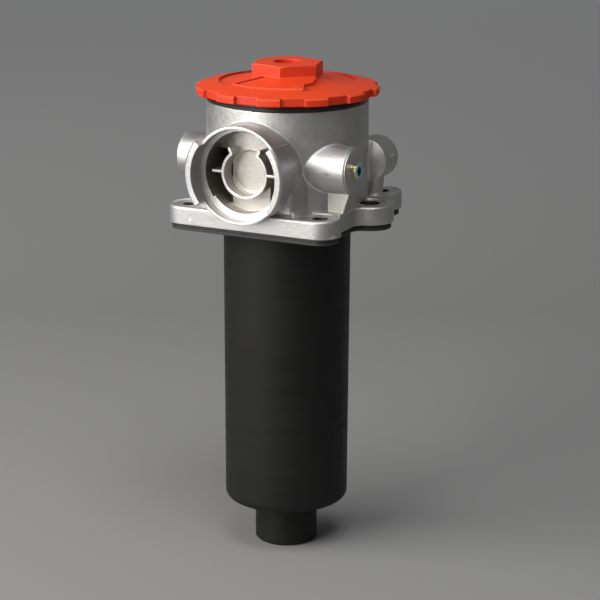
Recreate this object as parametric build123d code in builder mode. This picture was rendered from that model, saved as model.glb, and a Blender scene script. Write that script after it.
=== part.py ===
"""Tank-top return-line filter housing: cast head, screw lid, moulded bowl and the element inside.

Millimetres. The origin is the centre of the bolt pattern on the flange's underside, +Z points up
through the lid, and the inlet port looks along -Y.
"""
from math import cos, pi, radians, sin, tan
import os

from build123d import *

os.makedirs("parts", exist_ok=True)

# Flange and its bolt holes
flange_t = 10.6
hole_x = 42.4
hole_y = 42.4
hole_r = 4.5
lug_r = 12.1
plate_half_x = 50.0
side_hole_x = 50.4
side_hole_y = 8.0
side_hole_r = 6.0
side_lug_x = 51.6
side_lug_y = 6.0
side_lug_r = 14.0
waist_r = 7.0
spot_r = 10.4
spot_depth = 0.8

# Head body
cast_fillet = 1.0
rear_fillet = 1.6
head_r = 47.9
head_top = 69.3
chamber_r = 42.5
chamber_floor = 16.0
mouth_r = 43.2
mouth_floor = 56.0
neck_r = 38.6

# Inlet port, whose axis is parallel to Y
port_z = 34.2
port_boss_r = 28.6
port_bore_r = 27.0
port_flat_y = 63.5
port_lug_y = 69.5
port_lug_r = 31.4
port_lug_angle = 76.0
port_shoulder_y = 56.0
port_throat_r = 24.6
port_block_root = 31.4
port_block_half = 27.8
port_block_y = 50.5
strip_half = 12.2
strip_r = 47.3
window_top = 45.5

# C-shaped guide wall in front of the strip
guide_z = 33.7
guide_front_y = 55.0
guide_floor_y = 45.2
guide_out_r = 14.7
guide_in_r = 13.0
guide_gap_angle = 37.0
guide_tip = 3.2
guide_rib_end = 20.8
guide_rib_t = 1.5

# Gauge bosses, whose axes are parallel to X
gauge_y = -23.5
gauge_z = 35.3
gauge_face_x = 54.8
gauge_r = 13.7
gauge_root_r = 14.2
gauge_step = 1.0
foot_front_y = -26.7
foot_rear_y = -13.0
plug_r = 4.6
plug_hole_r = 4.65
plug_out = 3.2
plug_len = 9.0

# Rear side bosses, whose axes are parallel to Y
rear_x = 44.8
rear_z = 33.6
rear_r = 12.6
rear_near_y = 14.5
rear_far_y = 34.0
rear_dome = 3.0
column_x = 43.7
column_y = 27.0
column_r = 5.6

# Gasket
gasket_t = 3.8
gasket_inset = 1.5
gasket_lip = 1.6
gasket_groove = 0.9
gasket_bore_r = 39.6

# Bowl
collar_r = 40.0
collar_bore_r = 40.2
collar_low = 5.0
collar_top = 12.0
bowl_top_r = 38.0
bowl_low_r = 37.2
bowl_wall = 2.8
bowl_bottom = -177.7
bowl_floor = -173.5
bowl_round = 5.0
tube_r = 18.9
tube_in_r = 15.9
tube_end = -204.9
spigot_r = 18.0
spigot_top = -161.0
ring_low = 2.9
ring_t = 2.0
ring_out_r = 42.0

# Lid
lid_rim_r = 54.2
lid_notch_r = 51.8
lid_low = 73.35
lid_rim_top = 77.7
lid_hex_foot = 84.0
lid_hex_foot_r = 21.0
lid_top = 91.2
hex_flats = 38.0
hex_turn = -15.0
teeth = 12
tooth_angle = 14.5
skirt_r = 43.12
skirt_in_r = 39.4
skirt_low = 57.6
collar_gap = 0.05

# Filter element and bypass valve
element_r = 31.0
element_top = 37.0
cap_t = 3.0
cap_rim = 6.0
element_bottom = -160.0
pleats = 44
pleat_out_r = 29.4
pleat_in_r = 18.2
pleat_shift = 2.4
core_r = 15.5
core_in_r = 14.3
valve_r = 13.4
seat_bore_r = 8.0
seat_low = 32.0
cage_low = 6.0
cage_floor_t = 3.0
poppet_r = 10.0
poppet_t = 3.0
stem_r = 2.5
stem_hole_r = 2.56
valve_travel = 4.0

on_base = (Align.CENTER, Align.CENTER, Align.MIN)
port_plane = Plane(origin=(0, 0, port_z), x_dir=(1, 0, 0), z_dir=(0, -1, 0))
port_axis = Axis((0, 0, port_z), (0, -1, 0))


def port_section_plane(angle):
    """Half plane through the port's axis: local x is the radius, local y the way out."""
    a = radians(angle)
    return Plane(origin=(0, 0, port_z), x_dir=(cos(a), 0, sin(a)), z_dir=(sin(a), 0, -cos(a)))


def lies_on_body(edge):
    """Whether an edge runs along the round body's surface, its seam left out."""
    points = [edge @ t for t in (0.1, 0.3, 0.5, 0.7, 0.9)]
    on_it = all(abs((p.X ** 2 + p.Y ** 2) ** 0.5 - head_r) < 0.06 for p in points)
    return on_it and edge.geom_type != GeomType.LINE


def flange_outline(inset=0.0):
    """Plate with four corner lugs and two side lugs, drawn in the open sketch."""
    Rectangle(2 * (plate_half_x - inset), 2 * (hole_y + lug_r - inset))
    with GridLocations(2 * hole_x, 2 * hole_y, 2, 2):
        Circle(lug_r - inset)
    with Locations((-side_lug_x, side_lug_y), (side_lug_x, side_lug_y)):
        Circle(side_lug_r - inset)


def square_off_corners(inset=0.0):
    """Takes away the plate's own sharp corners outside the corner lugs."""
    reach = lug_r - inset
    for sx in (-1, 1):
        for sy in (-1, 1):
            with Locations((sx * (hole_x + reach), sy * (hole_y + reach))):
                Rectangle(2 * reach, 2 * reach, mode=Mode.SUBTRACT)
    with GridLocations(2 * hole_x, 2 * hole_y, 2, 2):
        Circle(reach)


# Foot under each gauge boss, raised end of that boss, and column under each rear boss
with BuildPart() as supports:
    for side in (-1, 1):
        with BuildSketch(Plane.XZ.offset(-foot_rear_y)):
            with BuildLine():
                Polyline((side * 34, 9), (side * 49, 9), (side * 53.3, 22.4), (side * 53.3, 29), (side * 34, 29),
                         close=True)
            make_face()
        extrude(amount=foot_rear_y - foot_front_y)
        with Locations(Plane(origin=(side * 52, gauge_y, gauge_z), x_dir=(0, 0, 1), z_dir=(side, 0, 0))):
            Cylinder(gauge_r - 1.0, gauge_face_x - 52, align=on_base)
        with Locations((side * column_x, column_y, flange_t - 1)):
            Cone(column_r, column_r + 1.6, rear_z - 5 - flange_t + 1, align=on_base)
        with Locations((side * column_x, column_y, flange_t - 0.5)):
            Cone(column_r + 1.6, column_r + 0.4, 1.7, align=on_base)
    rims = supports.edges().filter_by(GeomType.CIRCLE).group_by(Axis.X)
    fillet(rims[0] + rims[-1], 0.4)

# Block that carries the inlet boss on the flange, drawn in at its front and at its shoulders
with BuildPart() as port_block:
    with BuildSketch(Plane.XZ.offset(34)):
        with BuildLine():
            Polyline((-port_block_root, flange_t - 2), (port_block_root, flange_t - 2), (port_block_root, 25),
                     (port_boss_r - 0.6, port_z + 2), (0.6 - port_boss_r, port_z + 2), (-port_block_root, 25),
                     close=True)
        make_face()
    extrude(amount=port_block_y - 34)
    with BuildSketch(Plane.XY):
        with BuildLine():
            Polyline((-port_block_root - 0.8, -34), (-port_block_half, -port_block_y), (port_block_half, -port_block_y),
                     (port_block_root + 0.8, -34), close=True)
        make_face()
        fillet(vertices().group_by(Axis.Y)[0], 2)
    extrude(amount=port_z + 5, mode=Mode.INTERSECT)
    with BuildSketch(Plane.XY.offset(flange_t - 0.6)):
        with BuildLine():
            Polyline((-port_block_root - 3.2, -34), (-port_block_half - 3, -port_block_y - 2),
                     (port_block_half + 3, -port_block_y - 2), (port_block_root + 3.2, -34), close=True)
        make_face()
    extrude(amount=3.6, taper=42)

# Tool for the inlet's throat, which ends at the curved wall, and for the windows beside its strip
with BuildPart() as throat:
    with BuildSketch(port_plane.offset(28)):
        Circle(port_throat_r)
    extrude(amount=port_shoulder_y - 28)
    with BuildSketch(Plane.XY):
        Circle(strip_r)
    extrude(amount=head_top, mode=Mode.SUBTRACT)

with BuildPart() as windows:
    with BuildSketch(port_plane.offset(28)):
        Circle(port_throat_r)
        with Locations((0, window_top - port_z + 20)):
            Rectangle(80, 40, mode=Mode.SUBTRACT)
        Rectangle(2 * strip_half, 80, mode=Mode.SUBTRACT)
    extrude(amount=20)
    with BuildSketch(Plane.XY):
        Circle(mouth_r)
    extrude(amount=collar_top + 0.7, mode=Mode.SUBTRACT)

# Head casting
with BuildPart() as head:
    with BuildSketch(Plane.XY) as plate_sketch:
        flange_outline()
        square_off_corners()
        waist = [v for v in plate_sketch.vertices() if abs(v.X) > plate_half_x - 4 and abs(v.Y) < hole_y - 4]
        fillet(waist, waist_r)
    extrude(amount=flange_t)
    plate_top = head.faces().sort_by(Axis.Z)[-1]
    fillet(plate_top.outer_wire().edges(), 1.6)

    # Vertical body, with the inlet boss and the two gauge bosses let into it
    with BuildSketch(Plane.XY):
        Circle(head_r)
    extrude(amount=head_top)
    with BuildSketch(port_plane.offset(36)):
        Circle(port_boss_r)
    extrude(amount=port_flat_y - 36)
    for side in (-1, 1):
        with Locations(Plane(origin=(side * 27, gauge_y, gauge_z), x_dir=(0, 0, 1), z_dir=(side, 0, 0))):
            Cone(gauge_root_r, gauge_r, gauge_face_x - gauge_step - 27, align=on_base)
    fillet([e for e in head.edges() if lies_on_body(e) and e.center().Z < head_top - 1], cast_fillet)

    # Rear bosses
    for side in (-1, 1):
        with BuildSketch(Plane(origin=(side * rear_x, 0, rear_z), x_dir=(side, 0, 0), z_dir=(0, 0, side))):
            with BuildLine():
                Line((0, rear_near_y - rear_dome), (0, rear_far_y))
                Line((0, rear_far_y), (rear_r - 2.5, rear_far_y))
                TangentArc((rear_r - 2.5, rear_far_y), (rear_r, rear_far_y - 2.5), tangent=(1, 0))
                Line((rear_r, rear_far_y - 2.5), (rear_r, rear_near_y))
                ThreePointArc((rear_r, rear_near_y), (rear_r * 0.55, rear_near_y - 0.7 * rear_dome),
                              (0, rear_near_y - rear_dome))
            make_face()
        revolve(axis=Axis((side * rear_x, 0, rear_z), (0, 1, 0)))
    joints = [e for e in head.edges() if lies_on_body(e) and e.center().Y > 8]
    fillet([e for e in joints if 15 < e.center().Z < head_top - 5], rear_fillet)

    body_top = head.faces().sort_by(Axis.Z)[-1]
    fillet(body_top.outer_wire().edges(), 0.6)

    # Two proud lugs on the sides of the inlet boss, and the block that carries it on the flange
    for start in (-port_lug_angle / 2, 180 - port_lug_angle / 2):
        with BuildSketch(port_section_plane(start)):
            with BuildLine():
                Polyline(
                    (port_bore_r - 1, 42),
                    (port_boss_r - 0.3, 42),
                    (port_lug_r, port_lug_y - 1.2),
                    (port_lug_r - 1.2, port_lug_y),
                    (port_bore_r - 1, port_lug_y),
                    close=True,
                )
            make_face()
        revolve(axis=port_axis, revolution_arc=port_lug_angle)
    add(port_block.part)
    add(supports.part)

    # Inside: element chamber, mouth for the lid, seat for the bowl's collar
    with BuildSketch(Plane.XY.offset(chamber_floor)):
        Circle(chamber_r)
    extrude(amount=head_top - chamber_floor, mode=Mode.SUBTRACT)
    with BuildSketch(Plane.XY.offset(mouth_floor)):
        Circle(mouth_r)
    extrude(amount=head_top - mouth_floor, mode=Mode.SUBTRACT)
    with BuildSketch(Plane.XY):
        Circle(neck_r)
    extrude(amount=chamber_floor, mode=Mode.SUBTRACT)
    with BuildSketch(Plane.XY):
        Circle(collar_bore_r)
    extrude(amount=collar_top + 0.1, mode=Mode.SUBTRACT)
    with BuildSketch(Plane.XY.offset(ring_low - 0.05)):
        Circle(ring_out_r + 0.1)
    extrude(amount=ring_t + 0.1, mode=Mode.SUBTRACT)

    # Inlet: bore, throat behind its shoulder, and the flow windows either side of the wall strip
    with BuildSketch(port_plane.offset(port_shoulder_y)):
        Circle(port_bore_r)
    extrude(amount=port_lug_y - port_shoulder_y + 1, mode=Mode.SUBTRACT)
    add(throat.part, mode=Mode.SUBTRACT)
    add(windows.part, mode=Mode.SUBTRACT)

    # Lip of the shoulder along the lower third of the throat
    with BuildSketch(port_section_plane(-142)):
        with Locations((24.3, 51)):
            Rectangle(2, 10)
    revolve(axis=port_axis, revolution_arc=104)

    # C-shaped guide wall, its flared tips and side ribs, then its floor
    guide_plane = Plane(origin=(0, -guide_floor_y, guide_z), x_dir=(1, 0, 0), z_dir=(0, -1, 0))
    guide_mid_r = (guide_out_r + guide_in_r) / 2
    gap = radians(guide_gap_angle)
    tip_root = (guide_mid_r * sin(gap), guide_mid_r * cos(gap))
    tip_end = (tip_root[0] + guide_tip * 0.42, tip_root[1] + guide_tip * 0.91)
    with BuildSketch(guide_plane):
        with BuildLine():
            Line((-tip_end[0], tip_end[1]), (-tip_root[0], tip_root[1]))
            ThreePointArc((-tip_root[0], tip_root[1]), (0, -guide_mid_r), tip_root)
            Line(tip_root, tip_end)
            offset(amount=(guide_out_r - guide_in_r) / 2, side=Side.BOTH, closed=True)
        make_face()
    extrude(amount=guide_front_y - guide_floor_y)
    with BuildSketch(guide_plane.offset(guide_front_y - guide_floor_y)):
        for side in (-1, 1):
            with Locations((side * (guide_rib_end + guide_in_r + 0.5) / 2, 0.4)):
                Rectangle(guide_rib_end - guide_in_r - 0.5, guide_rib_t)
    extrude(amount=-7)
    with BuildSketch(guide_plane):
        Circle(guide_in_r - 0.4)
    extrude(amount=6, mode=Mode.SUBTRACT)
    with BuildSketch(guide_plane):
        Circle(11.9)
    extrude(amount=-0.7, mode=Mode.SUBTRACT)

    # Gauge ports: spot face, threaded mouth and drilled way into the chamber
    for side in (-1, 1):
        face_plane = Plane(origin=(side * gauge_face_x, gauge_y, gauge_z), x_dir=(0, side, 0), z_dir=(side, 0, 0))
        with BuildSketch(face_plane):
            Circle(plug_hole_r)
        extrude(amount=-12, mode=Mode.SUBTRACT)
        with BuildSketch(face_plane.offset(-12)):
            Circle(2.5)
        extrude(amount=-14, mode=Mode.SUBTRACT)

    # Bolt holes with their spot faces. Only the front cutters reach higher, into the foot of the port's block
    for side in (-1, 1):
        for x, y, bolt_r, cutter_r, reach in (
            (hole_x, -hole_y, hole_r, spot_r, 4),
            (hole_x, hole_y, hole_r, spot_r, 1),
            (side_hole_x, side_hole_y, side_hole_r, spot_r - 0.8, 1),
        ):
            with Locations((side * x, y, -1)):
                Cylinder(bolt_r, flange_t + 1, align=on_base, mode=Mode.SUBTRACT)
            with Locations((side * x, y, flange_t - spot_depth)):
                Cylinder(cutter_r, spot_depth + reach, align=on_base, mode=Mode.SUBTRACT)
head.part.label = "head_casting"
export_step(head.part, "parts/head_casting.step")

# Tank gasket: two lips with a groove between them round the edge
with BuildPart() as gasket:
    layers = (
        (-gasket_t, gasket_lip, gasket_inset),
        (-gasket_t + gasket_lip, gasket_t - 2 * gasket_lip, gasket_inset + gasket_groove),
        (-gasket_lip, gasket_lip, gasket_inset),
    )
    for low, thickness, inset in layers:
        with BuildSketch(Plane.XY.offset(low)) as gasket_sketch:
            flange_outline(inset)
            square_off_corners(inset)
            waist = [v for v in gasket_sketch.vertices() if abs(v.X) > plate_half_x - 6 and abs(v.Y) < hole_y - 4]
            fillet(waist, waist_r)
        extrude(amount=thickness)
    with BuildSketch(Plane.XY.offset(-gasket_t)):
        Circle(gasket_bore_r)
        with GridLocations(2 * hole_x, 2 * hole_y, 2, 2):
            Circle(hole_r + 0.3)
        with Locations((-side_hole_x, side_hole_y), (side_hole_x, side_hole_y)):
            Circle(side_hole_r + 0.3)
    extrude(amount=gasket_t, mode=Mode.SUBTRACT)
gasket.part.label = "tank_gasket"
export_step(gasket.part, "parts/tank_gasket.step")

# Bowl: collar with its O-ring groove, tapered shell, inner spigot and outlet tube in one moulding
groove_mid = (collar_low + collar_top) / 2
groove_half = 1.5
groove_r = 37.75
with BuildPart() as bowl:
    with BuildSketch(Plane.XZ):
        with BuildLine():
            Polyline(
                (bowl_top_r - bowl_wall, collar_top),
                (collar_r, collar_top),
                (collar_r, groove_mid + groove_half),
                (groove_r, groove_mid + groove_half),
                (groove_r, groove_mid - groove_half),
                (collar_r, groove_mid - groove_half),
                (collar_r, collar_low),
                (bowl_top_r, collar_low),
                (bowl_low_r, bowl_bottom + bowl_round),
            )
            RadiusArc((bowl_low_r, bowl_bottom + bowl_round), (bowl_low_r - bowl_round, bowl_bottom), bowl_round)
            Polyline(
                (bowl_low_r - bowl_round, bowl_bottom),
                (tube_r, bowl_bottom),
                (tube_r, tube_end + 1.5),
                (tube_r - 1.5, tube_end),
                (tube_in_r, tube_end),
                (tube_in_r, spigot_top),
                (spigot_r - 0.8, spigot_top),
                (spigot_r, spigot_top - 0.8),
                (spigot_r, bowl_floor),
                (bowl_low_r - bowl_wall, bowl_floor),
                (bowl_top_r - bowl_wall, collar_top),
            )
        make_face()
    revolve(axis=Axis.Z)
bowl.part.label = "filter_bowl"
export_step(bowl.part, "parts/filter_bowl.step")

# Round-section seals
seals = {
    "bowl_o_ring": (38.95, groove_mid, 1.2),
    "lid_o_ring": (41.9, 60.6, 1.2),
    "element_o_ring": (19.15, -166.0, 1.1),
}
for name, (middle_r, height, wire_r) in seals.items():
    with BuildPart() as seal:
        with BuildSketch(Plane.XZ):
            with Locations((middle_r, height)):
                Circle(wire_r)
        revolve(axis=Axis.Z)
    seal.part.label = name
    export_step(seal.part, f"parts/{name}.step")

# Retaining ring that holds the bowl's collar in the head
with BuildPart() as retainer:
    with BuildSketch(Plane.XY.offset(ring_low)):
        Circle(ring_out_r)
        Circle(ring_out_r - 3.3, mode=Mode.SUBTRACT)
        with Locations((0, ring_out_r)):
            Rectangle(9, 12, mode=Mode.SUBTRACT)
    extrude(amount=ring_t)
retainer.part.label = "bowl_retaining_ring"
export_step(retainer.part, "parts/bowl_retaining_ring.step")

# Screw lid: dished cover with notched rim, hexagon, and the skirt that screws into the head
slope = (lid_hex_foot - lid_rim_top) / (lid_rim_r - lid_hex_foot_r)
lid_wall = 4.0
lid_groove_r = 40.65
groove_turn = radians(228)
field_groove_length = 17.5
field_groove = Plane(origin=(-10.7, -26.7, lid_hex_foot - slope * (28.4 - lid_hex_foot_r) + 0.3),
                     x_dir=(cos(groove_turn), sin(groove_turn), -slope),
                     z_dir=(slope * cos(groove_turn), slope * sin(groove_turn), 1))
with BuildPart() as pad:
    with BuildSketch(Plane.XZ):
        with BuildLine():
            Polyline(
                (16, lid_hex_foot - 2.2),
                (16, lid_hex_foot + 0.6),
                (lid_hex_foot_r, lid_hex_foot + 0.6),
                (38.0, lid_hex_foot + 0.6 - slope * (38.0 - lid_hex_foot_r)),
                (38.6, lid_hex_foot - slope * (38.6 - lid_hex_foot_r)),
                (40.6, lid_hex_foot - slope * (40.6 - lid_hex_foot_r)),
                (40.6, lid_hex_foot - 2.2 - slope * (40.6 - lid_hex_foot_r)),
                (lid_hex_foot_r, lid_hex_foot - 2.2),
                close=True,
            )
        make_face()
    revolve(axis=Axis.Z)
    with BuildSketch(Plane.XY.offset(lid_low)):
        with BuildLine():
            Polyline((-4, -14), (-22, -37.5), (-22, -45), (27, -45), (25, -29.5), (22, -22), (24.5, -16), (22, -6),
                     (10, -4), close=True)
        make_face()
    extrude(amount=20, mode=Mode.INTERSECT)

with BuildPart() as lid:
    with BuildSketch(Plane.XZ):
        with BuildLine():
            Polyline(
                (0, lid_hex_foot),
                (lid_hex_foot_r, lid_hex_foot),
                (lid_rim_r - 0.7, lid_rim_top),
                (lid_rim_r, lid_rim_top - 0.6),
                (lid_rim_r, lid_low + 0.4),
                (lid_rim_r - 0.4, lid_low),
                (skirt_r, lid_low),
                (skirt_r, 62.1),
                (lid_groove_r, 62.1),
                (lid_groove_r, 59.1),
                (skirt_r, 59.1),
                (skirt_r, skirt_low + 0.8),
                (skirt_r - 0.8, skirt_low),
                (skirt_in_r, skirt_low),
                (skirt_in_r, 75.0),
                (lid_hex_foot_r, lid_hex_foot - lid_wall),
                (0, lid_hex_foot - lid_wall),
                close=True,
            )
        make_face()
    revolve(axis=Axis.Z)

    # Recessed fields either side of the hexagon and the raised field in front
    with BuildSketch(Plane.XZ):
        with BuildLine():
            Polyline(
                (18, lid_hex_foot + 2),
                (18, lid_hex_foot - 1.5),
                (lid_hex_foot_r, lid_hex_foot - 1.5),
                (40.5, lid_hex_foot - 1.5 - slope * (40.5 - lid_hex_foot_r)),
                (40.5, lid_hex_foot + 2),
                close=True,
            )
        make_face()
    revolve(axis=Axis.Z, revolution_arc=360, mode=Mode.SUBTRACT)
    add(pad.part)
    with Locations(field_groove):
        Box(field_groove_length, 3.2, 2.4, mode=Mode.SUBTRACT)

    # Hexagon with its rounded-off corners and the blind hole in its top
    with BuildSketch(Plane.XY.offset(lid_hex_foot - 3)):
        RegularPolygon(hex_flats / 2, 6, major_radius=False, rotation=hex_turn)
    extrude(amount=lid_top - lid_hex_foot + 3)
    with BuildSketch(Plane.XZ):
        with BuildLine():
            Polyline((hex_flats / 2 + 0.6, lid_top + 0.1), (hex_flats / 2 + 4, lid_top + 0.1),
                     (hex_flats / 2 + 4, lid_top - 1.5), close=True)
        make_face()
    revolve(axis=Axis.Z, mode=Mode.SUBTRACT)
    with BuildSketch(Plane.XY.offset(lid_top)):
        Circle(8.4)
    extrude(amount=-7.5, mode=Mode.SUBTRACT)

    # Notches between the teeth of the rim
    notch_half_angle = radians((360 / teeth - tooth_angle) / 2)
    notch_root = (lid_notch_r * cos(notch_half_angle), lid_notch_r * sin(notch_half_angle))
    notch_mouth = (60, 60 * tan(notch_half_angle))
    for k in range(teeth):
        with BuildSketch(Plane.XY.offset(lid_low - 1).rotated((0, 0, 360 / teeth * k))):
            with BuildLine():
                ThreePointArc((notch_root[0], -notch_root[1]), (lid_notch_r, 0), notch_root)
                Polyline(notch_root, notch_mouth, (60, -notch_mouth[1]), (notch_root[0], -notch_root[1]))
            make_face()
        extrude(amount=12, mode=Mode.SUBTRACT)

    # Ring under the cover that centres the hold-down spring
    with BuildSketch(Plane.XY.offset(71)):
        Circle(15.4)
        Circle(12.4, mode=Mode.SUBTRACT)
    extrude(amount=10)
lid.part.label = "screw_lid"
export_step(lid.part, "parts/screw_lid.step")

# Flat sealing ring between the head and the lid, with a groove round its edge
with BuildPart() as lid_ring:
    low = head_top + collar_gap
    high = lid_low - collar_gap
    with BuildSketch(Plane.XZ):
        with BuildLine():
            Polyline(
                (mouth_r, low),
                (47.6, low),
                (47.8, low + 0.2),
                (47.8, low + 1.6),
                (47.3, low + 1.9),
                (47.8, low + 2.2),
                (47.8, high),
                (mouth_r, high),
                close=True,
            )
        make_face()
    revolve(axis=Axis.Z)
lid_ring.part.label = "lid_seal_ring"
export_step(lid_ring.part, "parts/lid_seal_ring.step")

# Hexagon-socket plugs in the gauge bosses
for name, side in (("gauge_plug_right", 1), ("gauge_plug_left", -1)):
    outer_plane = Plane(origin=(side * (gauge_face_x + plug_out), gauge_y, gauge_z), x_dir=(0, side, 0),
                        z_dir=(side, 0, 0))
    with BuildPart() as plug:
        with BuildSketch(outer_plane):
            Circle(plug_r)
        extrude(amount=-(plug_out + plug_len))
        chamfer(plug.edges().filter_by(GeomType.CIRCLE), 0.5)
        with BuildSketch(outer_plane):
            RegularPolygon(2.5, 6, major_radius=False)
        extrude(amount=-4.5, mode=Mode.SUBTRACT)
    plug.part.label = name
    export_step(plug.part, f"parts/{name}.step")

# End caps of the filter element
with BuildPart() as top_cap:
    with BuildSketch(Plane.XZ):
        with BuildLine():
            Polyline(
                (valve_r + 0.05, element_top),
                (19.0, element_top),
                (19.0, element_top + 1.5),
                (20.5, element_top + 1.5),
                (20.5, element_top),
                (element_r - 1, element_top),
                (element_r, element_top - 1),
                (element_r, element_top - cap_t - cap_rim),
                (element_r - 1, element_top - cap_t - cap_rim),
                (element_r - 1, element_top - cap_t),
                (valve_r + 0.05, element_top - cap_t),
                close=True,
            )
        make_face()
    revolve(axis=Axis.Z)
top_cap.part.label = "element_top_cap"
export_step(top_cap.part, "parts/element_top_cap.step")

with BuildPart() as bottom_cap:
    with BuildSketch(Plane.XZ):
        with BuildLine():
            Polyline(
                (core_in_r - 0.8, element_bottom + cap_t),
                (element_r - 1, element_bottom + cap_t),
                (element_r - 1, element_bottom + cap_t + cap_rim),
                (element_r, element_bottom + cap_t + cap_rim),
                (element_r, element_bottom + 1),
                (element_r - 1, element_bottom),
                (22.5, element_bottom),
                (22.5, -172.0),
                (spigot_r + 0.15, -172.0),
                (spigot_r + 0.15, -167.4),
                (20.35, -167.4),
                (20.35, -164.6),
                (spigot_r + 0.15, -164.6),
                (spigot_r + 0.15, spigot_top + 0.5),
                (core_in_r - 0.8, spigot_top + 0.5),
                close=True,
            )
        make_face()
    revolve(axis=Axis.Z)
bottom_cap.part.label = "element_bottom_cap"
export_step(bottom_cap.part, "parts/element_bottom_cap.step")

# Pleated paper pack
media_low = element_bottom + cap_t
media_top = element_top - cap_t


def pleat_points(outer_r, inner_r):
    """The folded sheet's corners, outer and inner by turns."""
    half = pi / pleats
    corners = []
    for k in range(pleats):
        a = 2 * half * k
        corners.append((outer_r * cos(a), outer_r * sin(a)))
        corners.append((inner_r * cos(a + half), inner_r * sin(a + half)))
    return corners


with BuildPart() as media:
    with BuildSketch(Plane.XY.offset(media_low)):
        with BuildLine():
            Polyline(*pleat_points(pleat_out_r, pleat_in_r), close=True)
        make_face()
        with BuildLine():
            Polyline(*pleat_points(pleat_out_r - pleat_shift, pleat_in_r - pleat_shift), close=True)
        make_face(mode=Mode.SUBTRACT)
    extrude(amount=media_top - media_low)
media.part.label = "element_media"
export_step(media.part, "parts/element_media.step")

# Perforated support tube inside the pleats
core_rows = 12
with BuildPart() as core:
    with BuildSketch(Plane.XY.offset(media_low)):
        Circle(core_r)
        Circle(core_in_r, mode=Mode.SUBTRACT)
    extrude(amount=media_top - media_low)
    row_pitch = (media_top - media_low) / core_rows
    for row in range(core_rows):
        row_height = media_low + row_pitch * (row + 0.5)
        turn = 22.5 * (row % 2)
        for k in range(4):
            with BuildSketch(Plane.XZ.rotated((0, 0, turn + 45 * k)).offset(-20)):
                with Locations((0, row_height)):
                    Circle(2.2)
            extrude(amount=40, mode=Mode.SUBTRACT)
core.part.label = "element_core"
export_step(core.part, "parts/element_core.step")

# Bypass valve: seat, cage, sprung poppet
with BuildPart() as seat:
    with BuildSketch(Plane.XZ):
        with BuildLine():
            Polyline(
                (seat_bore_r, seat_low),
                (valve_r, seat_low),
                (valve_r, element_top - 0.2),
                (seat_bore_r + 1.5, element_top - 0.2),
                (seat_bore_r, element_top - 1.7),
                close=True,
            )
        make_face()
    revolve(axis=Axis.Z)
seat.part.label = "bypass_seat"
export_step(seat.part, "parts/bypass_seat.step")

with BuildPart() as cage:
    with BuildSketch(Plane.XY.offset(cage_low)):
        Circle(valve_r)
        Circle(stem_hole_r, mode=Mode.SUBTRACT)
        with PolarLocations(7.8, 6):
            Circle(1.9, mode=Mode.SUBTRACT)
    extrude(amount=cage_floor_t)
    with BuildSketch(Plane.XY.offset(cage_low)):
        Circle(valve_r)
        Circle(valve_r - 1.9, mode=Mode.SUBTRACT)
    extrude(amount=seat_low - cage_low)
    for k in range(3):
        with BuildSketch(Plane.XZ.rotated((0, 0, 60 * k)).offset(-20)):
            with Locations((0, (cage_low + cage_floor_t + seat_low) / 2)):
                Rectangle(8.5, seat_low - cage_low - cage_floor_t - 5)
        extrude(amount=40, mode=Mode.SUBTRACT)
cage.part.label = "bypass_cage"
export_step(cage.part, "parts/bypass_cage.step")

poppet_top = seat_low - 0.05
with BuildPart() as poppet:
    with BuildSketch(Plane.XZ):
        with BuildLine():
            Polyline(
                (0, poppet_top + 1.6),
                (seat_bore_r - 2.2, poppet_top + 1.6),
                (seat_bore_r - 0.5, poppet_top),
                (poppet_r, poppet_top),
                (poppet_r, poppet_top - 1.8),
                (stem_r + 2.6, poppet_top - poppet_t),
                (stem_r + 2.6, poppet_top - poppet_t - 1.5),
                (stem_r, poppet_top - poppet_t - 1.5),
                (stem_r, cage_low - 2.5),
                (0, cage_low - 2.5),
                close=True,
            )
        make_face()
    revolve(axis=Axis.Z)
poppet.part.label = "bypass_poppet"
export_step(poppet.part, "parts/bypass_poppet.step")


# Compression springs: a round wire swept along a helix
springs = {
    "bypass_spring": (6.3, 0.6, cage_low + cage_floor_t + 0.05, poppet_top - poppet_t - 0.05, 5),
    "hold_down_spring": (17.2, 1.2, element_top + 0.05, lid_hex_foot - lid_wall - 0.4, 5),
}
for name, (coil_r, wire_r, low, high, turns) in springs.items():
    rise = high - low - 2 * wire_r
    with BuildPart() as spring:
        with BuildLine() as path:
            Helix(pitch=rise / turns, height=rise, radius=coil_r, center=(0, 0, low + wire_r))
        with BuildSketch(Plane(origin=path.line @ 0, z_dir=path.line % 0)):
            Circle(wire_r)
        sweep(path=path.line)
    spring.part.label = name
    export_step(spring.part, f"parts/{name}.step")
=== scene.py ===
from math import cos, radians, sin

import bpy
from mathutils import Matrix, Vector


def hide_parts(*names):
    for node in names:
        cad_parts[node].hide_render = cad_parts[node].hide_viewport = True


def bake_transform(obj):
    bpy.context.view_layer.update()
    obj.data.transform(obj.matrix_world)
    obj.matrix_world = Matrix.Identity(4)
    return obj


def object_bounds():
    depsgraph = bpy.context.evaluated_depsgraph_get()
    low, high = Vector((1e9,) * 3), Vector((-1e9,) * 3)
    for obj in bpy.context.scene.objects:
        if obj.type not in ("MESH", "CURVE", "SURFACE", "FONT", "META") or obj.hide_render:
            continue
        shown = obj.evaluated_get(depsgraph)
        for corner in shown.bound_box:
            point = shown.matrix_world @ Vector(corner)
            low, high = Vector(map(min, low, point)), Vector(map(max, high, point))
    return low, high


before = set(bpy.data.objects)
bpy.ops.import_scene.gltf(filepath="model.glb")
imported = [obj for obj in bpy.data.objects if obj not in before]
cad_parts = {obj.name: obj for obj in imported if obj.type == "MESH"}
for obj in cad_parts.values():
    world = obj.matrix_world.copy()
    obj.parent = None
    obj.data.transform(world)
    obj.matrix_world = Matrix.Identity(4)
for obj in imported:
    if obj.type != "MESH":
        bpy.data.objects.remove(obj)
cad_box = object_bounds()


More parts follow.
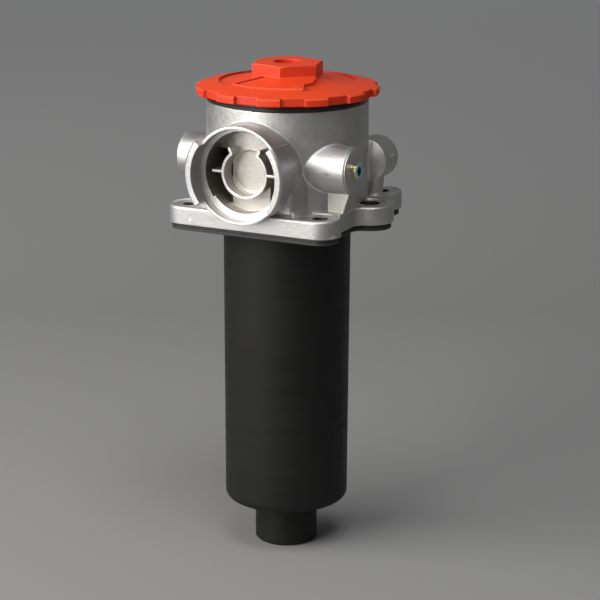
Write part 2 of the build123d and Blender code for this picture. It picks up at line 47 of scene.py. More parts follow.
# Camera, floor and light
# A long lens stands to the right of the inlet port and a little above it. The part stands on its
# outlet tube on a pale floor, with two large soft lamps side by side in front and on the left and a
# weaker one above, so that castings facing right stay dark.

camera_data = bpy.data.cameras.new("photo_camera")
camera_data.lens = 134.024
camera_data.sensor_width = 36.0
camera_data.clip_end = 50.0
camera = bpy.data.objects.new("photo_camera", camera_data)
camera.location = (0.58523, -1.16007, 0.29898)
view_turn = radians(26.4925)
camera.rotation_euler = (radians(74.8112), radians(-0.2556), view_turn)
bpy.context.scene.collection.objects.link(camera)
bpy.context.scene.camera = camera
bpy.context.scene.view_settings.view_transform = "Standard"


def deselect_all():
    for thing in bpy.context.selected_objects:
        thing.select_set(False)


def new_material(name):
    """A material with its Principled BSDF, ready for more nodes."""
    material = bpy.data.materials.new(name)
    material.use_nodes = True
    tree = material.node_tree
    return material, tree.nodes, tree.links, tree.nodes["Principled BSDF"]


# Painted light: the floor's colour is painted paler behind the part, standing in for light where the lamps
# no longer reach
floor_size = 16.0
paint_near = (0.255, 0.255, 0.255, 1.0)
painted_light_far = (0.80, 0.80, 0.80, 1.0)
near_end = 0.2
painted_light_per_metre = 0.38

deselect_all()
floor_z = cad_box[0][2]
bpy.ops.mesh.primitive_plane_add(size=floor_size, location=(0.0, 0.0, floor_z))
floor = bpy.context.active_object
floor.name = "floor"
floor_painted_light, nodes, links, shader = new_material("floor_painted_light")
shader.inputs["Roughness"].default_value = 0.8
floor_place = nodes.new("ShaderNodeTexCoord")
behind = nodes.new("ShaderNodeVectorMath")
behind.operation = "DOT_PRODUCT"
behind.inputs[1].default_value = (-sin(view_turn), cos(view_turn), 0.0)
painted_light_fade = nodes.new("ShaderNodeMath")
painted_light_fade.operation = "MULTIPLY"
painted_light_fade.inputs[1].default_value = painted_light_per_metre
painted_light_ramp = nodes.new("ShaderNodeValToRGB")
near, far = painted_light_ramp.color_ramp.elements
near.position = near_end
near.color = paint_near
far.color = painted_light_far
links.new(floor_place.outputs["Object"], behind.inputs[0])
links.new(behind.outputs["Value"], painted_light_fade.inputs[0])
links.new(painted_light_fade.outputs[0], painted_light_ramp.inputs["Fac"])
links.new(painted_light_ramp.outputs["Color"], shader.inputs["Base Color"])
floor.data.materials.append(floor_painted_light)

# The backdrop is seen by the camera and in gloss; everything else meets the weak light of the room
world = bpy.data.worlds.new("studio")
bpy.context.scene.world = world
world.use_nodes = True
nodes, links = world.node_tree.nodes, world.node_tree.links
backdrop = nodes["Background"]
backdrop.inputs["Color"].default_value = (0.16, 0.16, 0.16, 1.0)
ambient = nodes.new("ShaderNodeBackground")
ambient.inputs["Color"].default_value = (0.95, 0.97, 1.0, 1.0)
ambient.inputs["Strength"].default_value = 0.15
seen = nodes.new("ShaderNodeLightPath")
shows = nodes.new("ShaderNodeMath")
shows.operation = "ADD"
shows_all = nodes.new("ShaderNodeMath")
shows_all.operation = "ADD"
shows_all.use_clamp = True
choose = nodes.new("ShaderNodeMixShader")
links.new(seen.outputs["Is Camera Ray"], shows.inputs[0])
links.new(seen.outputs["Is Glossy Ray"], shows.inputs[1])
links.new(shows.outputs[0], shows_all.inputs[0])
links.new(seen.outputs["Is Transmission Ray"], shows_all.inputs[1])
links.new(shows_all.outputs[0], choose.inputs[0])
links.new(ambient.outputs[0], choose.inputs[1])
links.new(backdrop.outputs[0], choose.inputs[2])
links.new(choose.outputs[0], nodes["World Output"].inputs["Surface"])


def soft_lamp(name, turn, rise, distance, size, power, colour):
    """A square soft lamp aimed at the head; turn is measured from -Y towards +X, in degrees."""
    across, up = radians(turn), radians(rise)
    lamp_data = bpy.data.lights.new(name, "AREA")
    lamp_data.shape = "RECTANGLE"
    lamp_data.size, lamp_data.size_y = size
    lamp_data.energy = power
    lamp_data.color = colour
    lamp = bpy.data.objects.new(name, lamp_data)
    lamp.location = distance * Vector((sin(across) * cos(up), -cos(across) * cos(up), sin(up)))
    lamp.rotation_euler = (-lamp.location).to_track_quat("-Z", "Y").to_euler()
    lamp.visible_camera = False
    bpy.context.scene.collection.objects.link(lamp)


soft_lamp("left_window", -50.0, 24.0, 1.6, (1.0, 1.5), 21.0, (1.0, 0.98, 0.955))
soft_lamp("front_window", -16.0, 22.0, 1.6, (0.8, 1.5), 21.0, (1.0, 0.975, 0.945))
soft_lamp("overhead", 35.0, 64.0, 1.5, (0.7, 0.7), 9.0, (1.0, 1.0, 1.0))


# Head casting
# Die-cast aluminium, fine blasted all over, with edges painted brighter as wear and painted highlight. The
# port's rim, the gauge faces and the spot faces round the bolt holes are machined and show turning rings.

skin = bpy.data.node_groups.new("cast_skin", "ShaderNodeTree")
for label, default in (("Fine Scale", 2000.0), ("Slow Scale", 40.0)):
    skin.interface.new_socket(label, in_out="INPUT", socket_type="NodeSocketFloat").default_value = default
stretch_in = skin.interface.new_socket("Stretch", in_out="INPUT", socket_type="NodeSocketVector")
stretch_in.default_value = (1.0, 1.0, 1.0)
for label in ("Grain", "Mottle"):
    skin.interface.new_socket(label, in_out="OUTPUT", socket_type="NodeSocketFloat")
g_in = skin.nodes.new("NodeGroupInput")
g_out = skin.nodes.new("NodeGroupOutput")
place = skin.nodes.new("ShaderNodeTexCoord")
stretch = skin.nodes.new("ShaderNodeVectorMath")
stretch.operation = "MULTIPLY"
fine = skin.nodes.new("ShaderNodeTexNoise")
fine.inputs["Detail"].default_value = 3.0
slow = skin.nodes.new("ShaderNodeTexNoise")
slow.inputs["Detail"].default_value = 5.0
slow.inputs["Roughness"].default_value = 0.62
skin.links.new(place.outputs["Object"], stretch.inputs[0])
skin.links.new(g_in.outputs["Stretch"], stretch.inputs[1])
skin.links.new(stretch.outputs[0], fine.inputs["Vector"])
skin.links.new(stretch.outputs[0], slow.inputs["Vector"])
skin.links.new(g_in.outputs["Fine Scale"], fine.inputs["Scale"])
skin.links.new(g_in.outputs["Slow Scale"], slow.inputs["Scale"])
skin.links.new(fine.outputs["Fac"], g_out.inputs["Grain"])
skin.links.new(slow.outputs["Fac"], g_out.inputs["Mottle"])

rounded = bpy.data.node_groups.new("rounded_edge", "ShaderNodeTree")
rounded.interface.new_socket("Radius", in_out="INPUT", socket_type="NodeSocketFloat").default_value = 0.0005
rounded.interface.new_socket("Normal", in_out="OUTPUT", socket_type="NodeSocketVector")
rounded.interface.new_socket("Edge", in_out="OUTPUT", socket_type="NodeSocketFloat")
g_in = rounded.nodes.new("NodeGroupInput")
g_out = rounded.nodes.new("NodeGroupOutput")
round_over = rounded.nodes.new("ShaderNodeBevel")
round_over.samples = 6
flat = rounded.nodes.new("ShaderNodeNewGeometry")
agree = rounded.nodes.new("ShaderNodeVectorMath")
agree.operation = "DOT_PRODUCT"
edge_range = rounded.nodes.new("ShaderNodeMapRange")
edge_range.inputs["From Min"].default_value = 0.995
edge_range.inputs["From Max"].default_value = 0.90
rounded.links.new(g_in.outputs["Radius"], round_over.inputs["Radius"])
rounded.links.new(round_over.outputs["Normal"], g_out.inputs["Normal"])
rounded.links.new(round_over.outputs["Normal"], agree.inputs[0])
rounded.links.new(flat.outputs["Normal"], agree.inputs[1])
rounded.links.new(agree.outputs["Value"], edge_range.inputs["Value"])
rounded.links.new(edge_range.outputs["Result"], g_out.inputs["Edge"])


def finish_material(name, light, dark, roughness, metallic, fine_scale, slow_scale, bump_depth,
                    edge_radius=0.0004, edge_wear_and_highlight=None, stretch_by=(1.0, 1.0, 1.0)):
    """Principled material: mottled between two colours, grained, and painted lighter on its rounded edges as
    wear and painted highlight.
    """
    material, nodes, links, shader = new_material(name)
    coat = nodes.new("ShaderNodeGroup")
    coat.name = "skin"
    coat.node_tree = skin
    coat.inputs["Fine Scale"].default_value = fine_scale
    coat.inputs["Slow Scale"].default_value = slow_scale
    coat.inputs["Stretch"].default_value = stretch_by
    edge = nodes.new("ShaderNodeGroup")
    edge.name = "edge"
    edge.node_tree = rounded
    edge.inputs["Radius"].default_value = edge_radius
    mottle = nodes.new("ShaderNodeMix")
    mottle.data_type = "RGBA"
    mottle.inputs["A"].default_value = (*dark, 1.0)
    mottle.inputs["B"].default_value = (*light, 1.0)
    # Painted highlight and wear: the rounded edges, convex and hollow alike, take the lighter edge colour
    edge_wear_and_highlight_mix = nodes.new("ShaderNodeMix")
    edge_wear_and_highlight_mix.name = "edge_wear_and_highlight_mix"
    edge_wear_and_highlight_mix.data_type = "RGBA"
    edge_wear_and_highlight_mix.inputs["B"].default_value = (*(edge_wear_and_highlight or light), 1.0)
    rough = nodes.new("ShaderNodeMapRange")
    rough.name = "rough"
    rough.inputs["From Min"].default_value = 0.3
    rough.inputs["From Max"].default_value = 0.7
    rough.inputs["To Min"].default_value = roughness[0]
    rough.inputs["To Max"].default_value = roughness[1]
    bump = nodes.new("ShaderNodeBump")
    bump.name = "bump"
    bump.inputs["Distance"].default_value = bump_depth
    shader.inputs["Metallic"].default_value = metallic
    links.new(coat.outputs["Mottle"], mottle.inputs["Factor"])
    links.new(mottle.outputs["Result"], edge_wear_and_highlight_mix.inputs["A"])
    links.new(edge.outputs["Edge"], edge_wear_and_highlight_mix.inputs["Factor"])
    links.new(edge_wear_and_highlight_mix.outputs["Result"], shader.inputs["Base Color"])
    links.new(coat.outputs["Mottle"], rough.inputs["Value"])
    links.new(rough.outputs["Result"], shader.inputs["Roughness"])
    links.new(coat.outputs["Grain"], bump.inputs["Height"])
    links.new(edge.outputs["Normal"], bump.inputs["Normal"])
    links.new(bump.outputs["Normal"], shader.inputs["Normal"])
    return material


def dress(node, material):
    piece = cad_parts[node]
    piece.data.materials.clear()
    piece.data.materials.append(material)


cast_aluminium = finish_material(
    "cast_aluminium", light=(0.60, 0.595, 0.585), dark=(0.47, 0.465, 0.46),
    roughness=(0.42, 0.55), metallic=1.0, fine_scale=1300.0, slow_scale=90.0,
    bump_depth=0.00010, edge_radius=0.0007, edge_wear_and_highlight=(0.80, 0.795, 0.785))
nodes, links = cast_aluminium.node_tree.nodes, cast_aluminium.node_tree.links
shader = nodes["Principled BSDF"]
place = nodes.new("ShaderNodeTexCoord")
apart = nodes.new("ShaderNodeSeparateXYZ")
links.new(place.outputs["Object"], apart.inputs[0])


def calc(nodes, links, operation, *values):
    """One Math node; a value is a number or another node's output."""
    node = nodes.new("ShaderNodeMath")
    node.operation = operation
    for socket, value in zip(node.inputs, values):
        if isinstance(value, (int, float)):
            socket.default_value = value
        else:
            links.new(value, socket)
    return node.outputs[0]


def rings_about(nodes, links, first, second):
    """Distance from an axis, from the two coordinates across it."""
    first_squared = calc(nodes, links, "MULTIPLY", first, first)
    second_squared = calc(nodes, links, "MULTIPLY", second, second)
    return calc(nodes, links, "SQRT", calc(nodes, links, "ADD", first_squared, second_squared))


# Waves of a few millimetres left by the die, under the finer grain
wave = nodes.new("ShaderNodeTexNoise")
wave.inputs["Scale"].default_value = 380.0
wave.inputs["Detail"].default_value = 1.5
wavy = nodes.new("ShaderNodeBump")
wavy.inputs["Distance"].default_value = 0.00012
links.new(place.outputs["Object"], wave.inputs["Vector"])
links.new(wave.outputs["Fac"], wavy.inputs["Height"])
links.new(nodes["edge"].outputs["Normal"], wavy.inputs["Normal"])

# Machined faces: a face that lies at a cut's height and looks along the cutter's axis
cut_face = bpy.data.node_groups.new("machined_face", "ShaderNodeTree")
for label in ("Along", "Facing", "Height"):
    cut_face.interface.new_socket(label, in_out="INPUT", socket_type="NodeSocketFloat")
cut_face.interface.new_socket("Mask", in_out="OUTPUT", socket_type="NodeSocketFloat")
g_in = cut_face.nodes.new("NodeGroupInput")
g_out = cut_face.nodes.new("NodeGroupOutput")
at_height = calc(cut_face.nodes, cut_face.links, "COMPARE", g_in.outputs["Along"], g_in.outputs["Height"],
                 0.00012)
square_on = calc(cut_face.nodes, cut_face.links, "GREATER_THAN", g_in.outputs["Facing"], 0.96)
cut_here = calc(cut_face.nodes, cut_face.links, "MULTIPLY", at_height, square_on)
cut_face.links.new(cut_here, g_out.inputs["Mask"])

gauge_face_x = 0.0548
port_rim_y = 0.0635
port_lug_y = 0.0695
shoulder_y = 0.055
guide_edge_y = 0.056
spot_face_z = 0.0098
head_top_z = 0.0693

across_x = calc(nodes, links, "ABSOLUTE", apart.outputs["X"])
out_y = calc(nodes, links, "MULTIPLY", apart.outputs["Y"], -1.0)
facing = nodes.new("ShaderNodeSeparateXYZ")
links.new(place.outputs["Normal"], facing.inputs[0])
facing_side = calc(nodes, links, "ABSOLUTE", facing.outputs["X"])
facing_out = calc(nodes, links, "MULTIPLY", facing.outputs["Y"], -1.0)
turned = {}
for axis, along, looks, heights in (
    ("X", across_x, facing_side, (gauge_face_x,)),
    ("Y", out_y, facing_out, (port_rim_y, port_lug_y, shoulder_y, guide_edge_y)),
    ("Z", apart.outputs["Z"], facing.outputs["Z"], (spot_face_z, head_top_z)),
):
    masks = []
    for height in heights:
        cut = nodes.new("ShaderNodeGroup")
        cut.node_tree = cut_face
        cut.inputs["Height"].default_value = height
        links.new(along, cut.inputs["Along"])
        links.new(looks, cut.inputs["Facing"])
        masks.append(cut.outputs["Mask"])
    turned[axis] = masks[0]
    for mask in masks[1:]:
        turned[axis] = calc(nodes, links, "MAXIMUM", turned[axis], mask)
machined = calc(nodes, links, "MAXIMUM", calc(nodes, links, "MAXIMUM", turned["Y"], turned["Z"]),
                turned["X"])

# Turning rings on them, about the port, the gauge holes and the bolt holes
port_z = 0.0342
gauge_y = -0.0235
gauge_z = 0.0353
hole_xy = 0.0424
across_y = calc(nodes, links, "ABSOLUTE", apart.outputs["Y"])
about_port = rings_about(nodes, links, apart.outputs["X"],
                         calc(nodes, links, "SUBTRACT", apart.outputs["Z"], port_z))
about_gauge = rings_about(nodes, links, calc(nodes, links, "SUBTRACT", apart.outputs["Y"], gauge_y),
                          calc(nodes, links, "SUBTRACT", apart.outputs["Z"], gauge_z))
about_hole = rings_about(nodes, links, calc(nodes, links, "SUBTRACT", across_x, hole_xy),
                         calc(nodes, links, "SUBTRACT", across_y, hole_xy))
ring_place = calc(nodes, links, "ADD", calc(nodes, links, "MULTIPLY", about_gauge, turned["X"]),
                  calc(nodes, links, "ADD", calc(nodes, links, "MULTIPLY", about_port, turned["Y"]),
                       calc(nodes, links, "MULTIPLY", about_hole, turned["Z"])))
rings = nodes.new("ShaderNodeTexNoise")
rings.noise_dimensions = "1D"
rings.inputs["Scale"].default_value = 3200.0
rings.inputs["Detail"].default_value = 2.0
links.new(ring_place, rings.inputs["W"])
links.new(wavy.outputs["Normal"], nodes["bump"].inputs["Normal"])
height = nodes.new("ShaderNodeMix")
links.new(machined, height.inputs["Factor"])
links.new(nodes["skin"].outputs["Grain"], height.inputs["A"])
links.new(rings.outputs["Fac"], height.inputs["B"])
links.new(height.outputs["Result"], nodes["bump"].inputs["Height"])

# Warmer, slightly darker tint multiplied into the colour inside the port and on the feet of the gauge bosses
tint_r = 0.0268
tint_depth = 0.0634
in_port = calc(nodes, links, "MULTIPLY", calc(nodes, links, "LESS_THAN", about_port, tint_r),
               calc(nodes, links, "LESS_THAN", out_y, tint_depth))
foot_middle = (0.0437, -0.0199, 0.0166)
foot_half = (0.0097, 0.00699, 0.0058)
on_foot = 1.0
for along, middle, half in zip((across_x, apart.outputs["Y"], apart.outputs["Z"]), foot_middle, foot_half):
    on_foot = calc(nodes, links, "MULTIPLY", calc(nodes, links, "COMPARE", along, middle, half), on_foot)
warm_tint_amount = calc(nodes, links, "MULTIPLY", calc(nodes, links, "MAXIMUM", in_port, on_foot), 0.55)
warm_tint = nodes.new("ShaderNodeMix")
warm_tint.data_type = "RGBA"
warm_tint.blend_type = "MULTIPLY"
warm_tint.inputs["B"].default_value = (1.0, 0.95, 0.86, 1.0)
links.new(warm_tint_amount, warm_tint.inputs["Factor"])
links.new(nodes["edge_wear_and_highlight_mix"].outputs["Result"], warm_tint.inputs["A"])

# Painted highlight: a bright line painted in the hollow joint where a boss meets the round body
body_r = 0.0484
port_r = 0.0291
gauge_r = 0.0145
about_middle = rings_about(nodes, links, apart.outputs["X"], apart.outputs["Y"])
near_body = calc(nodes, links, "COMPARE", about_middle, body_r, 0.0009)
port_joint_highlight = calc(nodes, links, "MULTIPLY", calc(nodes, links, "COMPARE", about_port, port_r, 0.00032),
                  calc(nodes, links, "MULTIPLY", near_body, calc(nodes, links, "GREATER_THAN", out_y, 0.0)))
gauge_joint_highlight = calc(nodes, links, "MULTIPLY", calc(nodes, links, "COMPARE", about_gauge, gauge_r, 0.0003),
                   near_body)
joint_painted_highlight = calc(nodes, links, "MAXIMUM", port_joint_highlight, gauge_joint_highlight)

# Cut metal is cleaner and brighter than the blasted skin; the same mix paints the bright highlight line in
# the boss joints
cut_metal_and_joint_highlight = nodes.new("ShaderNodeMix")
cut_metal_and_joint_highlight.data_type = "RGBA"
cut_metal_and_joint_highlight.inputs["B"].default_value = (0.74, 0.74, 0.735, 1.0)
bright_cut = calc(nodes, links, "MAXIMUM", turned["Y"], calc(nodes, links, "MULTIPLY", turned["Z"], 0.3))
links.new(calc(nodes, links, "MULTIPLY", calc(nodes, links, "MAXIMUM", bright_cut, joint_painted_highlight), 0.6),
          cut_metal_and_joint_highlight.inputs["Factor"])
links.new(warm_tint.outputs["Result"], cut_metal_and_joint_highlight.inputs["A"])

# Small marks: scrapes that shine, and dull bruises on the right gauge boss, the flange and the port
small_mark = bpy.data.node_groups.new("small_mark", "ShaderNodeTree")
for label in ("Place", "Reach"):
    small_mark.interface.new_socket(label, in_out="INPUT", socket_type="NodeSocketVector")
small_mark.interface.new_socket("Mask", in_out="OUTPUT", socket_type="NodeSocketFloat")
g_in = small_mark.nodes.new("NodeGroupInput")
g_out = small_mark.nodes.new("NodeGroupOutput")
here = small_mark.nodes.new("ShaderNodeTexCoord")
away = small_mark.nodes.new("ShaderNodeVectorMath")
away.operation = "SUBTRACT"
shrunk = small_mark.nodes.new("ShaderNodeVectorMath")
shrunk.operation = "DIVIDE"
spread = small_mark.nodes.new("ShaderNodeVectorMath")
spread.operation = "LENGTH"
ragged = small_mark.nodes.new("ShaderNodeTexNoise")
ragged.inputs["Scale"].default_value = 900.0
fade = small_mark.nodes.new("ShaderNodeMapRange")
fade.inputs["From Min"].default_value = 1.35
fade.inputs["From Max"].default_value = 0.85
small_mark.links.new(here.outputs["Object"], away.inputs[0])
small_mark.links.new(g_in.outputs["Place"], away.inputs[1])
small_mark.links.new(away.outputs[0], shrunk.inputs[0])
small_mark.links.new(g_in.outputs["Reach"], shrunk.inputs[1])
small_mark.links.new(shrunk.outputs[0], spread.inputs[0])
small_mark.links.new(here.outputs["Object"], ragged.inputs["Vector"])
uneven = calc(small_mark.nodes, small_mark.links, "ADD", spread.outputs["Value"], ragged.outputs["Fac"])
small_mark.links.new(uneven, fade.inputs["Value"])
small_mark.links.new(fade.outputs["Result"], g_out.inputs["Mask"])


def marks_at(nodes, links, *spots):
    """The joined mask of several small marks, each a place and a reach in metres."""
    total = 0.0
    for spot, reach in spots:
        mark = nodes.new("ShaderNodeGroup")
        mark.node_tree = small_mark
        mark.inputs["Place"].default_value = spot
        mark.inputs["Reach"].default_value = reach
        total = calc(nodes, links, "MAXIMUM", mark.outputs["Mask"], total)
    return total


scrapes = marks_at(
    nodes, links,
    ((0.0305, -0.0495, 0.0118), (0.0035, 0.002, 0.0022)),
    ((0.0531, -0.0480, 0.0010), (0.0022, 0.003, 0.0016)),
    ((0.0571, 0.0240, 0.0362), (0.002, 0.0045, 0.0012)),
    ((-0.0358, -0.0545, 0.0034), (0.0012, 0.001, 0.0012)),
    ((0.0430, 0.0140, 0.0118), (0.0022, 0.0022, 0.0015)),
    ((0.0479, 0.0232, 0.0118), (0.0022, 0.0022, 0.0015)),
)
bruises = marks_at(
    nodes, links,
    ((0.0435, -0.0373, 0.0346), (0.0032, 0.002, 0.0009)),
    ((0.0442, -0.0543, 0.0033), (0.0011, 0.001, 0.0007)),
    ((-0.0011, -0.0550, 0.0205), (0.0014, 0.001, 0.0009)),
)
scraped = nodes.new("ShaderNodeMix")
scraped.data_type = "RGBA"
scraped.inputs["B"].default_value = (0.97, 0.97, 0.96, 1.0)
links.new(scrapes, scraped.inputs["Factor"])
links.new(cut_metal_and_joint_highlight.outputs["Result"], scraped.inputs["A"])
bruised = nodes.new("ShaderNodeMix")
bruised.data_type = "RGBA"
bruised.inputs["B"].default_value = (0.30, 0.28, 0.22, 1.0)
links.new(calc(nodes, links, "MULTIPLY", bruises, 0.75), bruised.inputs["Factor"])
links.new(scraped.outputs["Result"], bruised.inputs["A"])

# Painted shade: the walls of the bolt holes are painted dark, up to just under the flange's top
side_hole_x = 0.0504
side_hole_y = 0.008
hole_reach = 0.00455
side_hole_reach = 0.00605
flange_top_z = 0.0105
about_side_hole = rings_about(nodes, links, calc(nodes, links, "SUBTRACT", across_x, side_hole_x),
                              calc(nodes, links, "SUBTRACT", apart.outputs["Y"], side_hole_y))
hole_shade_mask = calc(nodes, links, "MAXIMUM", calc(nodes, links, "LESS_THAN", about_hole, hole_reach),
               calc(nodes, links, "LESS_THAN", about_side_hole, side_hole_reach))
below_top = calc(nodes, links, "LESS_THAN", apart.outputs["Z"], flange_top_z)
hole_shade_mask = calc(nodes, links, "MULTIPLY", hole_shade_mask, below_top)
hole_painted_shade = nodes.new("ShaderNodeMix")
hole_painted_shade.data_type = "RGBA"
hole_painted_shade.inputs["B"].default_value = (0.10, 0.095, 0.085, 1.0)
links.new(calc(nodes, links, "MULTIPLY", hole_shade_mask, 0.85), hole_painted_shade.inputs["Factor"])
links.new(bruised.outputs["Result"], hole_painted_shade.inputs["A"])
links.new(hole_painted_shade.outputs["Result"], shader.inputs["Base Color"])
smooth_cut = calc(nodes, links, "SUBTRACT", nodes["rough"].outputs["Result"],
                  calc(nodes, links, "MULTIPLY", calc(nodes, links, "MAXIMUM", turned["Y"], scrapes), 0.12))
links.new(smooth_cut, shader.inputs["Roughness"])
dress("head_casting", cast_aluminium)


# Tank gasket
# Moulded black rubber between the flange and the tank, with two lips round its edge.

gasket_rubber = finish_material(
    "gasket_rubber", light=(0.035, 0.035, 0.034), dark=(0.02, 0.02, 0.02),
    roughness=(0.42, 0.6), metallic=0.0, fine_scale=1500.0, slow_scale=60.0,
    bump_depth=0.00004, edge_radius=0.0003, edge_wear_and_highlight=(0.06, 0.06, 0.058))
dress("tank_gasket", gasket_rubber)


# Filter bowl
# One long moulding in black glass-filled polyamide. Its flow lines lie level and show as faint
# bands, matt where the mould was worn.

bowl_black = finish_material(
    "bowl_black", light=(0.009, 0.009, 0.0087), dark=(0.005, 0.005, 0.005),
    roughness=(0.46, 0.6), metallic=0.0, fine_scale=1800.0, slow_scale=12.0,
    bump_depth=0.00003, edge_radius=0.0005, edge_wear_and_highlight=(0.022, 0.022, 0.021),
    stretch_by=(1.0, 1.0, 10.0))
bowl_black.node_tree.nodes["Principled BSDF"].inputs["Specular IOR Level"].default_value = 0.25
dress("filter_bowl", bowl_black)
dress("element_top_cap", bowl_black)
dress("element_bottom_cap", bowl_black)


# Screw lid
# Orange-red glass-filled polyamide, satin, with painted highlights that make the corners of its teeth and
# hexagon paler.

lid_red = finish_material(
    "lid_red", light=(0.78, 0.062, 0.010), dark=(0.68, 0.046, 0.008),
    roughness=(0.4, 0.52), metallic=0.0, fine_scale=1300.0, slow_scale=90.0,
    bump_depth=0.00006, edge_radius=0.0007, edge_wear_and_highlight=(0.88, 0.14, 0.055))
nodes, links = lid_red.node_tree.nodes, lid_red.node_tree.links
place = nodes.new("ShaderNodeTexCoord")
apart = nodes.new("ShaderNodeSeparateXYZ")
facing = nodes.new("ShaderNodeSeparateXYZ")
links.new(place.outputs["Object"], apart.inputs[0])
links.new(place.outputs["Normal"], facing.inputs[0])

# Painted shade: the upright faces are painted deeper red than the sloping top
upright = calc(nodes, links, "LESS_THAN", calc(nodes, links, "ABSOLUTE", facing.outputs["Z"]), 0.4)
upright_painted_shade = nodes.new("ShaderNodeMix")
upright_painted_shade.data_type = "RGBA"
upright_painted_shade.blend_type = "MULTIPLY"
upright_painted_shade.inputs["B"].default_value = (0.86, 0.72, 1.0, 1.0)
links.new(upright, upright_painted_shade.inputs["Factor"])
links.new(nodes["edge_wear_and_highlight_mix"].outputs["Result"], upright_painted_shade.inputs["A"])

# Painted shade: darker red painted in the wall of the round recess, a little between the teeth, and in the
# short groove
recess_r = 0.0405
notch_r = 0.0518
notch_shade_amount = 0.25
groove_middle = (-0.0107, -0.0267)
groove_turn = radians(228.0)
groove_half = (0.0088, 0.00165)
from_axis = rings_about(nodes, links, apart.outputs["X"], apart.outputs["Y"])
in_step = calc(nodes, links, "MULTIPLY", calc(nodes, links, "COMPARE", from_axis, recess_r, 0.0004), upright)
in_notch = calc(nodes, links, "MULTIPLY", calc(nodes, links, "COMPARE", from_axis, notch_r, 0.0003), upright)
in_notch = calc(nodes, links, "MULTIPLY", in_notch, notch_shade_amount)
groove_x = calc(nodes, links, "SUBTRACT", apart.outputs["X"], groove_middle[0])
groove_y = calc(nodes, links, "SUBTRACT", apart.outputs["Y"], groove_middle[1])
groove_along = calc(nodes, links, "ADD", calc(nodes, links, "MULTIPLY", groove_x, cos(groove_turn)),
                    calc(nodes, links, "MULTIPLY", groove_y, sin(groove_turn)))
groove_across = calc(nodes, links, "SUBTRACT", calc(nodes, links, "MULTIPLY", groove_y, cos(groove_turn)),
                     calc(nodes, links, "MULTIPLY", groove_x, sin(groove_turn)))
in_groove = calc(nodes, links, "MULTIPLY", calc(nodes, links, "COMPARE", groove_along, 0.0, groove_half[0]),
                 calc(nodes, links, "COMPARE", groove_across, 0.0, groove_half[1]))
lid_shade_mask = calc(nodes, links, "MAXIMUM", in_step, calc(nodes, links, "MAXIMUM", in_notch, in_groove))
lid_painted_shade = nodes.new("ShaderNodeMix")
lid_painted_shade.data_type = "RGBA"
lid_painted_shade.inputs["B"].default_value = (0.30, 0.014, 0.008, 1.0)
links.new(calc(nodes, links, "MULTIPLY", lid_shade_mask, 0.6), lid_painted_shade.inputs["Factor"])
links.new(upright_painted_shade.outputs["Result"], lid_painted_shade.inputs["A"])
links.new(lid_painted_shade.outputs["Result"], nodes["Principled BSDF"].inputs["Base Color"])
nodes["Principled BSDF"].inputs["Specular IOR Level"].default_value = 0.35
dress("screw_lid", lid_red)


# Seals
# Black nitrile: the flat ring under the lid and the O-rings in their grooves.

seal_rubber = finish_material(
    "seal_rubber", light=(0.018, 0.018, 0.018), dark=(0.008, 0.008, 0.008),
    roughness=(0.28, 0.4), metallic=0.0, fine_scale=1200.0, slow_scale=90.0,
    bump_depth=0.00002, edge_radius=0.0002, edge_wear_and_highlight=(0.04, 0.04, 0.04))
for ring in ("lid_seal_ring", "bowl_o_ring", "lid_o_ring", "element_o_ring"):
    dress(ring, seal_rubber)


# Gauge plugs
# Steel plugs with a hexagon socket, zinc plated and yellow passivated.

plug_zinc = finish_material(
    "plug_zinc", light=(0.74, 0.64, 0.26), dark=(0.62, 0.56, 0.28),
    roughness=(0.16, 0.28), metallic=1.0, fine_scale=900.0, slow_scale=260.0,
    bump_depth=0.00001, edge_radius=0.0003, edge_wear_and_highlight=(0.86, 0.88, 0.80))
nodes, links = plug_zinc.node_tree.nodes, plug_zinc.node_tree.links
place = nodes.new("ShaderNodeTexCoord")
apart = nodes.new("ShaderNodeSeparateXYZ")
links.new(place.outputs["Object"], apart.inputs[0])
flank_end_x = 0.0566
crown_start_x = 0.0576
socket_r = 0.0029
# Painted reflection: the crown past the flank is painted pale teal, and the hexagon socket a darker teal
crown_reflection_ramp = nodes.new("ShaderNodeMapRange")
crown_reflection_ramp.inputs["From Min"].default_value = flank_end_x
crown_reflection_ramp.inputs["From Max"].default_value = crown_start_x
links.new(calc(nodes, links, "ABSOLUTE", apart.outputs["X"]), crown_reflection_ramp.inputs["Value"])
crown_painted_reflection = nodes.new("ShaderNodeMix")
crown_painted_reflection.data_type = "RGBA"
crown_painted_reflection.inputs["B"].default_value = (0.66, 0.80, 0.86, 1.0)
links.new(crown_reflection_ramp.outputs["Result"], crown_painted_reflection.inputs["Factor"])
links.new(nodes["edge_wear_and_highlight_mix"].outputs["Result"], crown_painted_reflection.inputs["A"])
about_plug = rings_about(nodes, links, calc(nodes, links, "SUBTRACT", apart.outputs["Y"], gauge_y),
                         calc(nodes, links, "SUBTRACT", apart.outputs["Z"], gauge_z))
in_socket = calc(nodes, links, "LESS_THAN", about_plug, socket_r)
socket_painted_reflection = nodes.new("ShaderNodeMix")
socket_painted_reflection.data_type = "RGBA"
socket_painted_reflection.inputs["B"].default_value = (0.36, 0.58, 0.66, 1.0)
links.new(in_socket, socket_painted_reflection.inputs["Factor"])
links.new(crown_painted_reflection.outputs["Result"], socket_painted_reflection.inputs["A"])
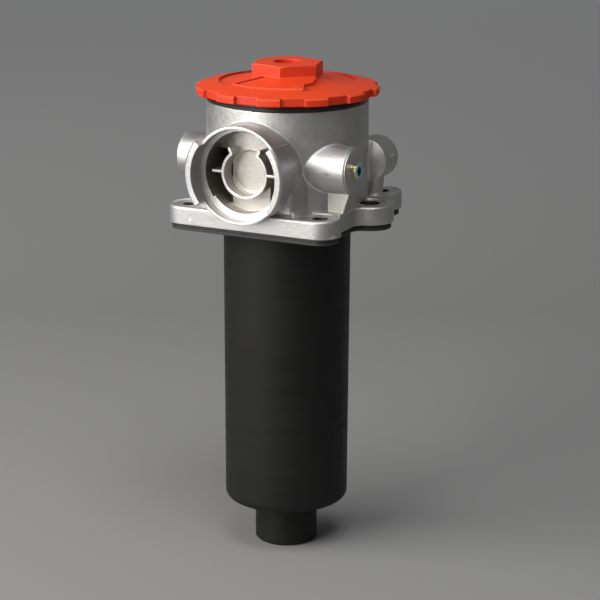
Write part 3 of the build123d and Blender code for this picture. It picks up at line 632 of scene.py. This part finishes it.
links.new(socket_painted_reflection.outputs["Result"], nodes["Principled BSDF"].inputs["Base Color"])
dress("gauge_plug_right", plug_zinc)
dress("gauge_plug_left", plug_zinc)


# Filter element and the bowl's retaining ring
# Pleated paper round a perforated tinned tube; the ring is bent from the same steel as the springs.

spring_steel = finish_material(
    "spring_steel", light=(0.56, 0.56, 0.57), dark=(0.44, 0.44, 0.46),
    roughness=(0.25, 0.4), metallic=1.0, fine_scale=1200.0, slow_scale=200.0,
    bump_depth=0.00001, edge_radius=0.0002)
for node in ("bowl_retaining_ring", "element_core"):
    dress(node, spring_steel)

filter_paper = finish_material(
    "filter_paper", light=(0.74, 0.66, 0.46), dark=(0.64, 0.56, 0.38),
    roughness=(0.8, 0.9), metallic=0.0, fine_scale=1500.0, slow_scale=120.0, bump_depth=0.00005)
dress("element_media", filter_paper)


# Bypass valve
# Natural polyamide seat, cage and poppet in the element's top.

valve_natural = finish_material(
    "valve_natural", light=(0.74, 0.70, 0.60), dark=(0.66, 0.62, 0.52),
    roughness=(0.4, 0.5), metallic=0.0, fine_scale=1600.0, slow_scale=80.0, bump_depth=0.00003)
for node in ("bypass_seat", "bypass_cage", "bypass_poppet"):
    dress(node, valve_natural)


# Springs
# Drawn steel wire, wound open. Each stands on a fixed seat while its top follows the part it presses
# on; a smooth-shaded copy of the solid takes its place.

for node, name, follower in (("hold_down_spring", "hold_down_coil", "lid_follower"),
                             ("bypass_spring", "bypass_coil", "poppet")):
    wound = bpy.data.objects.new(name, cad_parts[node].data.copy())
    bpy.context.scene.collection.objects.link(wound)
    deselect_all()
    wound.select_set(True)
    bpy.context.view_layer.objects.active = wound
    bpy.ops.object.mode_set(mode="EDIT")
    bpy.ops.mesh.select_all(action="SELECT")
    bpy.ops.mesh.remove_doubles(threshold=0.000002)
    bpy.ops.object.mode_set(mode="OBJECT")
    bpy.ops.object.shade_smooth_by_angle(angle=radians(40.0))
    wound.data.materials.clear()
    wound.data.materials.append(spring_steel)
    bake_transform(wound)
    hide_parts(node)
